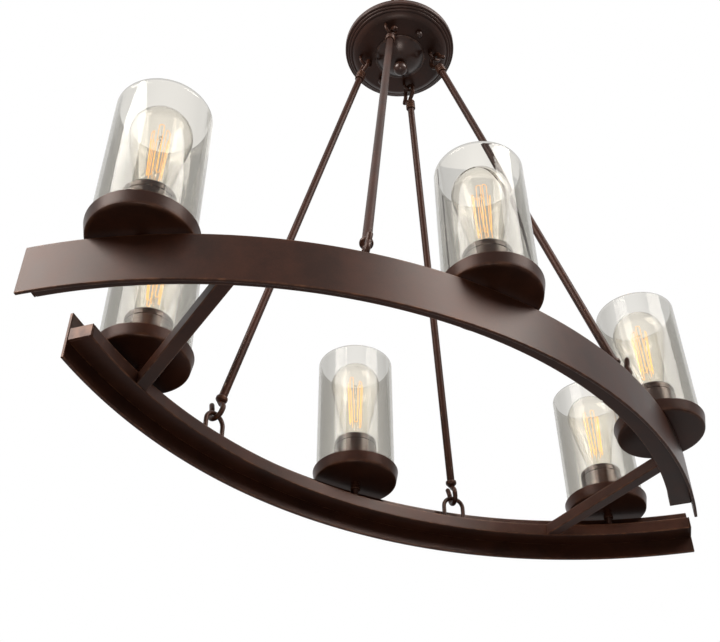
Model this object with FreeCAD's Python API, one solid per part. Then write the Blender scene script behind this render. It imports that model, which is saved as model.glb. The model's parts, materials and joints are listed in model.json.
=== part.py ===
"""Oval chandelier: two staggered curved rails with six glass lamps, hung by four hooked rods from a hub on a chain.

Millimetres, +Z up. The origin is the centre of the ceiling strap's top face, in the plane of the ceiling.
+X runs along the oval, -Y is the near side. The far rail is the near one turned half a turn about Z.
"""
import FreeCAD, Part
import math
import os

from FreeCAD import Placement, Rotation, Vector

# Clearances
hang_gap = 0.6          # between a hook and the eye it hangs on
link_gap = 0.3          # between two chain links
slip = 0.3              # radial, between a piece and the hole it drops into
snug = 0.1              # radial, between a piece and the hole it is fixed in
seat_gap = 0.2          # under a lifted-out piece at rest
least_run = 0.0001      # straight runs of a bent wire shorter than this are left out

# Ceiling canopy and strap
canopy_radius = 63.0
canopy_depth = 26.0
canopy_wall = 1.2
canopy_rim = 4.0
strap_length = 112.0
strap_width = 20.0
strap_thickness = 2.5
box_screw_spacing = 88.9
box_screw_hole = 4.8
stud_diameter = 10.0

# Cast loops at the two ends of the chain
loop_radius = 11.5
loop_wire = 5.0
collar_height = 14.0
collar_radius = 9.0
collar_bead = 2.0

# Chain
link_count = 4
link_length = 48.0
link_width = 22.0
link_wire = 4.6

# Hub
hub_flat_radius = 57.4
hub_rim_radius = 74.8
hub_depth = 16.5
hub_lip = 3.7
hub_wall = 1.5
hub_ring_count = 3
hub_ring_step = 2.6
hub_ring_groove = 0.6
hub_cover_thickness = 2.0
hub_stud_end = 6.0
dome_radius = 34.0
dome_height = 17.5
dome_bead = 2.0
dome_nose_radius = 7.0
dome_swell = 2.5
finial_radius = 9.6
finial_neck_radius = 4.0
finial_neck_length = 1.0
ball_nut_radius = 4.5
ball_nut_offset = 45.0
ball_nut_stud = 4.0
hub_eye_x = 36.6
hub_eye_y = 30.2
hub_eye_drop = 13.5
hub_eye_spacing = 16.0
hub_eye_wire = 4.2

# Hanger rods
rod_x = 154.7
rod_drop = 572.5
rod_diameter = 9.0
rod_wall = 1.2
rod_collar_radius = 5.4
rod_rib = 1.0
upper_collar_length = 13.0
upper_collar_ribs = 4
lower_collar_length = 5.0
lower_collar_ribs = 1
rod_spigot_length = 12.0
hook_wire = 5.6
hook_radius = 8.5
upper_hook_shank = 17.0
lower_hook_shank = 14.0
hook_neck = 3.5
hook_root = 4.0
hook_root_radius = 2.4
hook_bend = 6.0
hook_shoulder = 6.5
hook_tip_rise = 11.0
hook_tip_flare = 4.0
hook_tip_bend = 7.0

# Rails
oval_half_width = 177.0
rail_radius = 536.0
rail_half_angle = 43.5
rail_slide_angle = 4.4
band_height = 50.8
band_thickness = 3.2
tube_width = 23.0
tube_height = 14.0
tube_wall = 1.5
end_cap_thickness = 2.0
cross_bar_angle = 30.0
cross_bar_side = 12.7
cross_bar_wall = 1.5
staple_height = 30.5
staple_spacing = 23.0
staple_wire = 4.8

# Lamps
lamp_angle = 33.5
middle_lamp_shift = 0.8
cup_lift = 22.0
cup_height = 13.3
cup_bottom_radius = 46.0
cup_rim_radius = 48.5
cup_wall = 1.0
cup_floor = 1.5
cup_edge = 1.5
nipple_diameter = 6.4
nipple_bore = 4.0
nipple_grip = 8.0
ferrule_radius = 5.5
ferrule_collar = 4.5
ferrule_neck = 4.5
ferrule_wall = 1.2
sleeve_radius = 24.2
sleeve_height = 53.5
sleeve_wall = 1.0
sleeve_lip = 3.0
socket_radius = 17.5
socket_height = 49.0
socket_seat = 24.2
shade_radius = 44.5
shade_wall = 3.0
shade_height = 165.0

# Bulbs
bulb_radius = 28.8
bulb_length = 140.0
bulb_wall = 0.8
bulb_neck_radius = 12.6
bulb_throat_radius = 14.0
bulb_throat_rise = 7.7
cap_radius = 13.2
cap_height = 22.0
contact_radius = 4.5
contact_height = 2.0
insulator_height = 2.6
stem_radius = 6.0
stem_height = 36.0
filament_wire = 0.8
filament_strands = 8
filament_low_radius = 9.0
filament_high_radius = 7.0
filament_low = 26.0
filament_high = 92.0

# Levels and places that follow from the sizes above
canopy_loop_z = -(canopy_depth + collar_height + 2 * loop_radius)
link_span = link_length - link_wire
loop_reach = (loop_wire + link_wire) / 2 + link_gap
link_reach = link_wire + link_gap
hub_loop_z = canopy_loop_z + 2 * loop_reach - link_count * link_span + (link_count - 1) * link_reach
cover_top_z = hub_loop_z - 2 * loop_radius - collar_height
hub_top_z = cover_top_z - hub_cover_thickness
hub_bottom_z = hub_top_z - hub_depth
hub_eye_z = hub_bottom_z - hub_eye_drop
staple_z = hub_eye_z - rod_drop
tube_top_z = staple_z - staple_height
rail_z = tube_top_z - tube_height / 2
arc_centre_y = rail_radius - oval_half_width
tube_outer_radius = rail_radius - band_thickness
tube_inner_radius = tube_outer_radius - tube_width
tube_line_radius = (tube_outer_radius + tube_inner_radius) / 2
rod_y = math.sqrt(tube_line_radius**2 - rod_x**2) - arc_centre_y
cross_bar_x = tube_inner_radius * math.sin(math.radians(cross_bar_angle))
cup_z = tube_top_z + cup_lift
floor_z = cup_z + cup_floor
bulb_z = socket_seat + slip

up = Vector(0, 0, 1)
corners = {"near_left": (-1, -1), "near_right": (1, -1), "far_left": (-1, 1), "far_right": (1, 1)}


def turned(start, *moves):
    """Solid of revolution about Z; a move is a point (r, z), or a pair of points for an arc."""
    edges = []
    here = Vector(start[0], 0, start[1])
    for move in moves + (start,):
        if isinstance(move[0], tuple):
            middle, end = (Vector(r, 0, z) for r, z in move)
            edges.append(Part.Arc(here, middle, end).toShape())
        else:
            end = Vector(move[0], 0, move[1])
            edges.append(Part.LineSegment(here, end).toShape())
        here = end
    return Part.Face(Part.Wire(edges)).revolve(Vector(), up, 360)


def rod_between(start, end, radius):
    """Round rod from one point to another."""
    axis = end - start
    return Part.makeCylinder(radius, axis.Length, start, axis)


def fused(pieces):
    """One clean solid from overlapping pieces."""
    return pieces[0].multiFuse(pieces[1:]).removeSplitter()


def ring_pipe(path, wire, start, direction):
    """Round wire swept along a path that starts at a point in a direction."""
    section = Part.Wire(Part.Circle(start, direction, wire / 2).toShape())
    return path.makePipeShell([section], True, False)


def half_turn(shape):
    """Copy of a shape turned half a turn about the vertical through the origin."""
    copy = shape.copy()
    copy.rotate(Vector(), up, 180)
    return copy


def at(shape, x, y, z, angle=0):
    """Copy of a shape turned about Z and moved to a place."""
    copy = shape.copy()
    copy.Placement = Placement(Vector(x, y, z), Rotation(up, angle)).multiply(copy.Placement)
    return copy


def save(node, *solids):
    """Write one node, of one or more separate solids."""
    shape = solids[0] if len(solids) == 1 else Part.makeCompound(list(solids))
    shape.exportStep("parts/" + node + ".step")


# Ceiling canopy, strap and chain

def canopy():
    """Shallow dished cover, open at the ceiling, with a hole for the loop's stud."""
    hole = stud_diameter / 2 + slip
    shoulder = (canopy_radius * 0.72, -canopy_depth * 0.72)
    inner_shoulder = (shoulder[0] - canopy_wall, shoulder[1] + canopy_wall)
    inner_radius = canopy_radius - canopy_wall
    inner_bottom = -canopy_depth + canopy_wall
    return turned((hole, -canopy_depth), (collar_radius, -canopy_depth), (shoulder, (canopy_radius, -canopy_rim)),
                  (canopy_radius, 0), (inner_radius, 0), (inner_radius, -canopy_rim),
                  (inner_shoulder, (collar_radius, inner_bottom)), (hole, inner_bottom))


def strap():
    """Flat bar with the outlet box's screw holes and a hole for the stud."""
    bar = Part.makeBox(strap_length, strap_width, strap_thickness,
                       Vector(-strap_length / 2, -strap_width / 2, -strap_thickness))
    holes = [(0, stud_diameter / 2 + snug)]
    holes += [(side * box_screw_spacing / 2, box_screw_hole / 2) for side in (-1, 1)]
    for x, radius in holes:
        bar = bar.cut(Part.makeCylinder(radius, strap_thickness, Vector(x, 0, -strap_thickness)))
    return bar


def collared_loop(stud_length):
    """Cast loop in the XZ plane under a beaded collar, with a stud on top; z 0 is the top of the collar."""
    ring = Part.makeTorus(loop_radius, loop_wire / 2, Vector(0, 0, -collar_height - loop_radius), Vector(0, 1, 0))
    waist = collar_radius - collar_bead
    bead_z = -collar_height / 3
    collar = turned((0, 0), (collar_radius, 0), (waist, -collar_bead), (waist, bead_z + collar_bead),
                    ((collar_radius, bead_z), (waist, bead_z - collar_bead)), (loop_wire / 2, -collar_height),
                    (0, -collar_height))
    return fused([ring, collar, Part.makeCylinder(stud_diameter / 2, stud_length)])


def chain_link():
    """Oval link in the XZ plane, its upper bow's wire at z 0."""
    bow = (link_width - link_wire) / 2
    straight = link_span - 2 * bow
    radius = link_wire / 2
    pieces = []
    for z, side in ((-bow, 1), (-bow - straight, -1)):
        half = Part.makeTorus(bow, radius, Vector(), up, -180, 180, 180)
        half.rotate(Vector(), Vector(1, 0, 0), side * 90)
        half.translate(Vector(0, 0, z))
        pieces.append(half)
    for x in (-bow, bow):
        pieces.append(Part.makeCylinder(radius, straight, Vector(x, 0, -bow - straight)))
    return fused(pieces)


def ceiling_and_chain():
    """Nodes from the ceiling down to the hub's loop."""
    save("ceiling_canopy", canopy())
    save("ceiling_strap", strap())
    save("canopy_loop", at(collared_loop(canopy_depth), 0, 0, -canopy_depth))
    link = chain_link()
    top = canopy_loop_z + loop_reach
    for number in range(1, link_count + 1):
        save("chain_link_%d" % number, at(link, 0, 0, top, 90 * (number % 2)))
        top += link_reach - link_span
    loop = collared_loop(hub_cover_thickness + hub_stud_end)
    loop.rotate(Vector(), Vector(1, 0, 0), 180)
    save("hub_loop", at(loop, 0, 0, cover_top_z, 90))


# Hub

def hub_pan():
    """Round pan with stepped rings up its flared side, holed for the ball nuts' studs."""
    moves = [(hub_flat_radius, 0)]
    radius, z = hub_flat_radius, 0
    rise = (hub_depth - hub_lip) / (hub_ring_count + 2)
    for _ in range(hub_ring_count):
        radius += hub_ring_step
        z += rise
        moves += [(radius, z - hub_ring_groove), (radius - hub_ring_groove, z)]
    flare_z = hub_depth - hub_lip
    flare_middle = ((radius + hub_rim_radius) / 2 + hub_ring_groove, (z + flare_z) / 2 - hub_ring_groove)
    moves.append((flare_middle, (hub_rim_radius, flare_z)))
    moves.append((hub_rim_radius, hub_depth))
    moves.append((hub_rim_radius - hub_wall, hub_depth))
    moves.append((hub_rim_radius - hub_wall, flare_z + hub_wall))
    moves.append((hub_flat_radius - hub_wall, hub_wall))
    moves.append((0, hub_wall))
    pan = turned((0, 0), *moves)
    for side in (-1, 1):
        hole = Part.makeCylinder(ball_nut_stud / 2 + snug, hub_wall, Vector(0, side * ball_nut_offset, 0))
        pan = pan.cut(hole)
    return pan


def hub_dome():
    """Dome with a beaded foot under the pan; z 0 is its foot."""
    foot = dome_radius - dome_bead
    inward, down = foot - dome_nose_radius, dome_height - dome_bead
    swell = dome_swell / math.hypot(inward, down)
    shoulder = (foot - inward / 2 + down * swell, -dome_bead - down / 2 - inward * swell)
    return turned((0, 0), (dome_radius - dome_bead / 2, 0), ((dome_radius, -dome_bead / 2), (foot, -dome_bead)),
                  (shoulder, (dome_nose_radius, -dome_height)), (0, -dome_height))


def ball_on_stud(ball, neck, reach, tail):
    """Ball below a neck that rises from the ball's centre; z 0 is the neck's seat, tail goes on above it."""
    sphere = Part.makeSphere(ball, Vector(0, 0, -reach))
    return fused([sphere, Part.makeCylinder(neck, reach + tail, Vector(0, 0, -reach))])


def wire_staple(spacing, height, wire):
    """Arch of round wire in the XZ plane on two legs, its crown's wire at z 0."""
    radius = spacing / 2
    arch = Part.makeTorus(radius, wire / 2, Vector(), up, -180, 180, 180)
    arch.rotate(Vector(), Vector(1, 0, 0), 90)
    arch.translate(Vector(0, 0, -radius))
    pieces = [arch]
    for x in (-radius, radius):
        pieces.append(Part.makeCylinder(wire / 2, height - radius, Vector(x, 0, -height)))
    return fused(pieces)


def hub():
    """Nodes of the hub, from its cover down to the finial."""
    hole = stud_diameter / 2 + snug
    cover = turned((hole, 0), (hub_rim_radius, 0), (hub_rim_radius, hub_cover_thickness), (hole, hub_cover_thickness))
    save("hub_cover", at(cover, 0, 0, hub_top_z))
    save("hub_pan", at(hub_pan(), 0, 0, hub_bottom_z))
    save("hub_dome", at(hub_dome(), 0, 0, hub_bottom_z))
    finial = ball_on_stud(finial_radius, finial_neck_radius, finial_radius + finial_neck_length, 0)
    save("hub_finial", at(finial, 0, 0, hub_bottom_z - dome_height))
    nut = ball_on_stud(ball_nut_radius, ball_nut_stud / 2, ball_nut_radius, hub_depth)
    save("hub_ball_nuts", *[at(nut, 0, side * ball_nut_offset, hub_bottom_z) for side in (-1, 1)])
    eye = wire_staple(hub_eye_spacing, hub_eye_drop, hub_eye_wire)
    eye.rotate(Vector(), Vector(1, 0, 0), 180)
    save("hub_eyes", *[at(eye, sx * hub_eye_x, sy * hub_eye_y, hub_eye_z) for sx, sy in corners.values()])


# Hanger rods

def rounded_path(points, radii):
    """Wire through points, with a tangent arc of the given radius at each inner point."""
    edges = []
    here = points[0]
    for before, corner, after, radius in zip(points, points[1:], points[2:], radii):
        back = (before - corner).normalize()
        ahead = (after - corner).normalize()
        half = back.getAngle(ahead) / 2
        cut = radius / math.tan(half)
        middle = corner + (back + ahead).normalize() * (radius / math.sin(half) - radius)
        first, last = corner + back * cut, corner + ahead * cut
        if (first - here).Length > least_run:
            edges.append(Part.LineSegment(here, first).toShape())
        else:
            first = here
        edges.append(Part.Arc(first, middle, last).toShape())
        here = last
    edges.append(Part.LineSegment(here, points[-1]).toShape())
    return Part.Wire(edges)


def hook(pivot, along, inward, eye, shank, length, ribs):
    """Ribbed collar and open hook on an eye's wire; along points from the eye up the rod, inward is the bowed side."""
    centre = pivot + along * (hook_radius - (hook_wire + eye) / 2 - hang_gap)
    spigot = rod_diameter / 2 - rod_wall - snug
    top = length + rod_spigot_length
    rib = length / ribs
    moves = [(hook_root_radius, -hook_root), (rod_collar_radius, 0)]
    for number in range(ribs):
        crest = (rod_collar_radius + rod_rib, (number + 0.5) * rib)
        moves.append((crest, (rod_collar_radius, (number + 1) * rib)))
    moves += [(spigot, length), (spigot, top), (0, top)]
    collar = turned((0, -hook_root), *moves)
    collar.Placement = Placement(centre + along * shank, Rotation(up, along))
    bow = hook_radius
    route = [(0, shank + hook_wire / 2), (0, shank - hook_neck), (bow, hook_shoulder), (bow, -bow),
             (-bow, -bow), (-bow, hook_tip_rise - hook_tip_bend), (-bow - hook_tip_flare, hook_tip_rise)]
    points = [centre + inward * w + along * v for w, v in route]
    path = rounded_path(points, [hook_bend, hook_bend, bow, bow, hook_tip_bend])
    wire = ring_pipe(path, hook_wire, points[0], -along)
    return fused([collar, wire, Part.makeSphere(hook_wire / 2, points[-1])])


def rods():
    """Four tubes from the hub's eyes to the rails' eyes, each with a hook at both ends."""
    grip = hook_radius - hang_gap - hook_wire / 2
    upper_grip = upper_hook_shank + upper_collar_length + grip - hub_eye_wire / 2
    lower_grip = lower_hook_shank + lower_collar_length + grip - staple_wire / 2
    for corner, (sx, sy) in corners.items():
        top = Vector(sx * hub_eye_x, sy * hub_eye_y, hub_eye_z)
        bottom = Vector(sx * rod_x, sy * rod_y, staple_z)
        down = (bottom - top).normalize()
        tangent = Vector(rod_y + arc_centre_y, -sx * sy * rod_x, 0).normalize()
        low_inward = tangent.cross(down).normalize() * -sy
        high_inward = Vector(1, 0, 0).cross(down).normalize() * -sy
        tube_top, tube_bottom = top + down * upper_grip, bottom - down * lower_grip
        tube = rod_between(tube_top, tube_bottom, rod_diameter / 2)
        tube = tube.cut(rod_between(tube_top, tube_bottom, rod_diameter / 2 - rod_wall))
        save("rod_" + corner, tube)
        upper = hook(top, down, high_inward, hub_eye_wire, upper_hook_shank, upper_collar_length, upper_collar_ribs)
        lower = hook(bottom, -down, low_inward, staple_wire, lower_hook_shank, lower_collar_length, lower_collar_ribs)
        save("rod_hooks_" + corner, upper, lower)


# Rails

def rail_arc(inner, outer, low, high, start_angle, end_angle):
    """Curved bar of the near rail between two radii, two levels and two angles from -Y towards +X."""
    section = Part.makePolygon([Vector(inner, 0, low), Vector(outer, 0, low), Vector(outer, 0, high),
                                Vector(inner, 0, high), Vector(inner, 0, low)])
    bar = Part.Face(section).revolve(Vector(), up, end_angle - start_angle)
    return at(bar, 0, arc_centre_y, rail_z, start_angle - 90)


def on_rail(angle):
    """Point of the near rail's tube line at an angle from -Y towards +X."""
    turn = math.radians(angle)
    return Vector(tube_line_radius * math.sin(turn), arc_centre_y - tube_line_radius * math.cos(turn), 0)


def lamp_places():
    """Centre of each lamp by name."""
    near = {"left": -lamp_angle, "middle": middle_lamp_shift, "right": lamp_angle}
    opposite = {"left": "right", "middle": "middle", "right": "left"}
    places = {}
    for name, angle in near.items():
        point = on_rail(angle - rail_slide_angle)
        places["near_" + name] = point
        places["far_" + opposite[name]] = -point
    return places


def rails():
    """Bands, tubes, end caps, cross bars and the eyes on the tubes."""
    start = -rail_half_angle - rail_slide_angle
    end = rail_half_angle - rail_slide_angle
    half_band = band_height / 2
    half_tube = tube_height / 2
    band = rail_arc(tube_outer_radius, rail_radius, -half_band, half_band, start, end)
    save("band_near", band)
    save("band_far", half_turn(band))
    cap_angle = math.degrees(end_cap_thickness / tube_line_radius)
    tube_start, tube_end = start + cap_angle, end - cap_angle
    tube = rail_arc(tube_inner_radius, tube_outer_radius, -half_tube, half_tube, tube_start, tube_end)
    hollow = rail_arc(tube_inner_radius + tube_wall, tube_outer_radius - tube_wall,
                      tube_wall - half_tube, half_tube - tube_wall, tube_start, tube_end)
    tube = tube.cut(hollow)
    for name, place in lamp_places().items():
        if name.startswith("near"):
            hole = Part.makeCylinder(nipple_diameter / 2 + snug, 2 * tube_wall)
            tube = tube.cut(at(hole, place.x, place.y, tube_top_z - 1.5 * tube_wall))
    save("tube_near", tube)
    save("tube_far", half_turn(tube))
    caps = [rail_arc(tube_inner_radius, tube_outer_radius, -half_tube, half_tube, first, first + cap_angle)
            for first in (start, tube_end)]
    save("tube_end_caps", *caps, *[half_turn(cap) for cap in caps])
    cross_bars()
    eyes = []
    staple = wire_staple(staple_spacing, staple_height, staple_wire)
    for sx, sy in corners.values():
        lean = -sx * sy * math.degrees(math.asin(rod_x / tube_line_radius))
        eyes.append(at(staple, sx * rod_x, sy * rod_y, staple_z, lean))
    save("rail_eyes", *eyes)


def cross_bars():
    """Square tubes across the oval, with their ends cut to the rails' inner curve."""
    long_side = 2 * oval_half_width
    half = cross_bar_side / 2
    inside = half - cross_bar_wall
    bar = Part.makeBox(cross_bar_side, long_side, cross_bar_side, Vector(-half, -oval_half_width, -half))
    bore = Part.makeBox(2 * inside, long_side, 2 * inside, Vector(-inside, -oval_half_width, -inside))
    bar = at(bar.cut(bore), cross_bar_x, 0, rail_z)
    reach = 2 * rail_half_angle
    near = rail_arc(tube_inner_radius, 2 * rail_radius, -tube_height, tube_height, -reach, reach)
    bar = bar.cut(near).cut(half_turn(near))
    save("cross_bar_right", bar)
    save("cross_bar_left", half_turn(bar))


# Lamps

def cup():
    """Shallow flared cup with a rounded foot; z 0 is its underside."""
    foot = cup_bottom_radius - cup_edge
    hole = nipple_diameter / 2 + snug
    corner = cup_edge * (1 - math.sqrt(0.5))
    return turned((hole, 0), (foot, 0), ((cup_bottom_radius - corner, corner), (cup_bottom_radius, cup_edge)),
                  (cup_rim_radius, cup_height), (cup_rim_radius - cup_wall, cup_height),
                  (cup_bottom_radius - cup_wall, cup_floor), (hole, cup_floor))


def nipple():
    """Hollow threaded stem from the tube's top wall up into the socket; z 0 is the tube's top."""
    low = -1.5 * tube_wall
    height = cup_lift + cup_floor + nipple_grip - low
    stem = Part.makeCylinder(nipple_diameter / 2, height, Vector(0, 0, low))
    return stem.cut(Part.makeCylinder(nipple_bore / 2, height, Vector(0, 0, low)))


def ferrule():
    """Collared ferrule that holds the cup on its stem; z 0 is the tube's top."""
    hole = nipple_diameter / 2 + snug
    neck = hole + ferrule_wall
    shoulder = cup_lift - ferrule_neck
    return turned((hole, shoulder - ferrule_collar), (ferrule_radius, shoulder - ferrule_collar),
                  (ferrule_radius, shoulder), (neck, shoulder), (neck, cup_lift), (hole, cup_lift))


def sleeve():
    """Round cover of the socket with an inturned lip; z 0 is the cup's floor."""
    inner = sleeve_radius - sleeve_wall
    lip = sleeve_radius - sleeve_lip
    corner = sleeve_lip * (1 - math.sqrt(0.5))
    top = sleeve_height
    return turned((inner, 0), (sleeve_radius, 0), (sleeve_radius, top - sleeve_lip),
                  ((sleeve_radius - corner, top - corner), (lip, top)), (lip, top - sleeve_wall),
                  (inner, top - sleeve_lip - sleeve_wall))


def socket():
    """Lamp holder with a blind bore for the bulb's cap; z 0 is the cup's floor."""
    stem = nipple_diameter / 2 + snug
    bore = cap_radius + slip
    return turned((stem, 0), (socket_radius, 0), (socket_radius, socket_height), (bore, socket_height),
                  (bore, socket_seat), (0, socket_seat), (0, nipple_grip), (stem, nipple_grip))


def shade():
    """Plain glass cylinder, open at both ends; z 0 is the cup's floor."""
    tube = Part.makeCylinder(shade_radius, shade_height, Vector(0, 0, seat_gap))
    return tube.cut(Part.makeCylinder(shade_radius - shade_wall, shade_height, Vector(0, 0, seat_gap)))


def bulb_outline(inset):
    """Points of the bulb's wall, a cone tangent to a round crown, moved in by an inset; z 0 is the contact."""
    neck = contact_height + insulator_height + cap_height
    centre = bulb_length - bulb_radius
    rise = centre - neck - bulb_throat_rise
    taper = math.atan2(rise, bulb_throat_radius) - math.acos(bulb_radius / math.hypot(bulb_throat_radius, rise))
    cosine, sine = math.cos(taper), math.sin(taper)
    radius = bulb_radius - inset
    throat = (bulb_throat_radius - inset * cosine, neck + bulb_throat_rise + inset * sine)
    shoulder = (radius * cosine, centre - radius * sine)
    crown = (radius * math.sqrt(0.5), centre + radius * math.sqrt(0.5))
    return (bulb_neck_radius - inset, neck), throat, shoulder, crown, (0, centre + radius)


def bulb_glass():
    """Drop-shaped envelope, open where it is cemented into the cap."""
    foot, throat, shoulder, crown, top = bulb_outline(0)
    inner_foot, inner_throat, inner_shoulder, inner_crown, inner_top = bulb_outline(bulb_wall)
    return turned(foot, throat, shoulder, (crown, top), inner_top, (inner_crown, inner_shoulder),
                  inner_throat, inner_foot)


def bulb_base():
    """Cap with its contact, the glass stem inside the bulb and the cage of filament strands on it."""
    shell_z = contact_height + insulator_height
    neck = shell_z + cap_height
    cap = turned((0, 0), (contact_radius, 0), (contact_radius, contact_height), (cap_radius * 0.8, shell_z),
                 (cap_radius, shell_z), (cap_radius, neck), (0, neck))
    tip = stem_radius / 3
    stem = turned((0, 0), (stem_radius, 0), ((stem_radius * 0.45, stem_height * 0.3), (tip, stem_height)),
                  (0, stem_height))
    low, high = neck + filament_low, neck + filament_high
    radius = filament_wire / 2
    pieces = [Part.makeTorus(filament_low_radius, radius, Vector(0, 0, low)),
              Part.makeTorus(filament_high_radius, radius, Vector(0, 0, high))]
    for number in range(filament_strands):
        first = math.radians(360 * number / filament_strands)
        second = first + math.radians(180 / filament_strands)
        foot = Vector(filament_low_radius * math.cos(first), filament_low_radius * math.sin(first), low)
        head = Vector(filament_high_radius * math.cos(second), filament_high_radius * math.sin(second), high)
        pieces.append(rod_between(foot, head, radius))
    for side in (-1, 1):
        pieces.append(rod_between(Vector(side * tip, 0, low), Vector(side * filament_low_radius, 0, low), radius))
    return cap, at(stem, 0, 0, neck), fused(pieces)


def lamps():
    """Cup, shade and bulb of each lamp, and the fixed pieces that all lamps share."""
    places = lamp_places()
    one_cup, one_shade, glass, base = cup(), shade(), bulb_glass(), bulb_base()
    for name, place in places.items():
        save("cup_" + name, at(one_cup, place.x, place.y, cup_z))
        save("shade_" + name, at(one_shade, place.x, place.y, floor_z))
        save("bulb_glass_" + name, at(glass, place.x, place.y, floor_z + bulb_z))
        save("bulb_base_" + name, *[at(piece, place.x, place.y, floor_z + bulb_z) for piece in base])
    shared = {"lamp_nipples": (nipple(), tube_top_z), "lamp_ferrules": (ferrule(), tube_top_z),
              "socket_sleeves": (sleeve(), floor_z), "sockets": (socket(), floor_z)}
    for node, (piece, z) in shared.items():
        save(node, *[at(piece, place.x, place.y, z) for place in places.values()])


os.makedirs("parts", exist_ok=True)
ceiling_and_chain()
hub()
rods()
rails()
lamps()
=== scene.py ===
"""Oval chandelier in dark bronze with clear glass cylinders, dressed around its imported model."""
import json
from math import acos, asin, atan2, ceil, cos, hypot, pi, radians, sin, sqrt, tan

import bmesh
import bpy
from bpy.props import FloatProperty, FloatVectorProperty, IntProperty, PointerProperty
from mathutils import Matrix, Vector


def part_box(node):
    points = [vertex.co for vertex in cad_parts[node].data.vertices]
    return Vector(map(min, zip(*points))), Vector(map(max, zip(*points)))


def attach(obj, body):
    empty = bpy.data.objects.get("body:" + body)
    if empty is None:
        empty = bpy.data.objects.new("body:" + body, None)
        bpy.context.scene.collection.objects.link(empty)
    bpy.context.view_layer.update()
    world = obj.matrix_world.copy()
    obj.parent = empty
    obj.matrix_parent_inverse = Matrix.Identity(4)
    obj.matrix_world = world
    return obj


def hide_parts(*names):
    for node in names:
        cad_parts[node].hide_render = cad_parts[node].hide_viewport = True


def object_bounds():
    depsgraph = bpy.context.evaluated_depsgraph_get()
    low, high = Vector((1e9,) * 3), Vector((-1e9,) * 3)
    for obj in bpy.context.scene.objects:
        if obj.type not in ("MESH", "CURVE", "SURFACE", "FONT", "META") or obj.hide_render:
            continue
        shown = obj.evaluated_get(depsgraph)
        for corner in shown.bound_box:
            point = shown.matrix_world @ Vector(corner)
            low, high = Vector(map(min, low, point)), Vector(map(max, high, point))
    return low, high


bl_info = {
    "name": "Oval chandelier",
    "version": (1, 0, 0),
    "blender": (4, 5, 0),
    "location": "3D View > Sidebar > Chandelier",
    "description": "Builds the chandelier's rails, hub, chain, rods and lamps around the packed model",
    "category": "Object",
}

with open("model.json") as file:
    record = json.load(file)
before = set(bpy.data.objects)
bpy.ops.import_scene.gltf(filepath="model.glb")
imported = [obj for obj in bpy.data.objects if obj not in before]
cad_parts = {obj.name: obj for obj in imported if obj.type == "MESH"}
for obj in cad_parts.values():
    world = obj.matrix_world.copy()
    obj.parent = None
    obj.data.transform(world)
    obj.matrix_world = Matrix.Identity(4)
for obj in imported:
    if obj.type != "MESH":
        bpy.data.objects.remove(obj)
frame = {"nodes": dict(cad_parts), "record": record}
cad_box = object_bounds()

LAMPS = ("near_left", "near_middle", "near_right", "far_left", "far_middle", "far_right")
CORNERS = {"near_left": (-1, -1), "near_right": (1, -1), "far_left": (-1, 1), "far_right": (1, 1)}
UP = Vector((0, 0, 1))
X_AXIS, Y_AXIS = Vector((1, 0, 0)), Vector((0, 1, 0))
ON_AXIS = 1e-7
ALMOST_STRAIGHT = radians(4)
SHARP_CORNER = radians(120)
WIRE_WEAR, EDGE_WEAR, DULL_EDGE_WEAR = 0.12, 0.8, 0.35
FINE, ROUND, SMALL = 128, 96, 40
STEM_HOLE = 0.0033


def node_centre(node):
    """Middle of a node's box."""
    low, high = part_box(node)
    return (Vector(low) + Vector(high)) / 2


def levels(node):
    """Lowest and highest level of a node."""
    low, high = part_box(node)
    return low[2], high[2]


def node_radius(node):
    """Half of a node's width."""
    low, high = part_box(node)
    return (high[0] - low[0]) / 2


def node_foot(node):
    """Point at level 0 under a node's middle."""
    middle = node_centre(node)
    return Vector((middle.x, middle.y, 0))


def on_axis(z):
    """Point on the part's own axis."""
    return Vector((0, 0, z))


def spread(end, count, first=0):
    """Even steps from 0 to an end, from the first that is wanted."""
    return [end * k / count for k in range(first, count + 1)]


RAIL_Z = node_centre("band_near").z
BAR_X = node_centre("cross_bar_right").x
HUB_Z, PAN_TOP = levels("hub_pan")


# Sizes and finishes that a user would change

def length(name, description, default):
    """Property for a length in metres."""
    return FloatProperty(name=name, description=description, default=default, unit="LENGTH", precision=5)


def angle_of(name, description, degrees):
    """Property for an angle."""
    return FloatProperty(name=name, description=description, default=radians(degrees), subtype="ANGLE")


def count_of(name, description, default):
    """Property for a number of like things."""
    return IntProperty(name=name, description=description, default=default)


def colour(name, description, default):
    """Property for a colour."""
    return FloatVectorProperty(name=name, description=description, default=default, size=3, subtype="COLOR",
                               min=0, max=1)


class RailSizes(bpy.types.PropertyGroup):
    """Sizes of the two curved rails and what stands on them."""
    radius: length("Rail radius", "Radius of a band's outer face", 0.536)
    half_width: length("Half width", "Half of the oval's width at its middle", 0.177)
    half_angle: angle_of("Half angle", "Half of the angle that a rail spans", 43.5)
    slide: angle_of("Stagger", "Angle that a rail is shifted along its own curve", 4.4)
    band_height: length("Band height", "Height of the flat band", 0.0508)
    band_thickness: length("Band thickness", "Thickness of the flat band", 0.0032)
    tube_width: length("Tube width", "Width of the tube inside the band", 0.023)
    tube_height: length("Tube height", "Height of the tube inside the band", 0.014)
    cap: length("End cap", "Thickness of a tube's end cap", 0.002)
    edge: length("Edge", "Rounding of the bars' edges", 0.0006)
    bar_x: length("Cross bar place", "Distance of a cross bar from the middle", BAR_X)
    bar_side: length("Cross bar side", "Side of a cross bar's square section", 0.0127)
    staple_wire: length("Eye wire", "Wire of the eyes on the tubes", 0.0048)
    staple_spacing: length("Eye width", "Distance between an eye's legs", 0.023)


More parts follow.
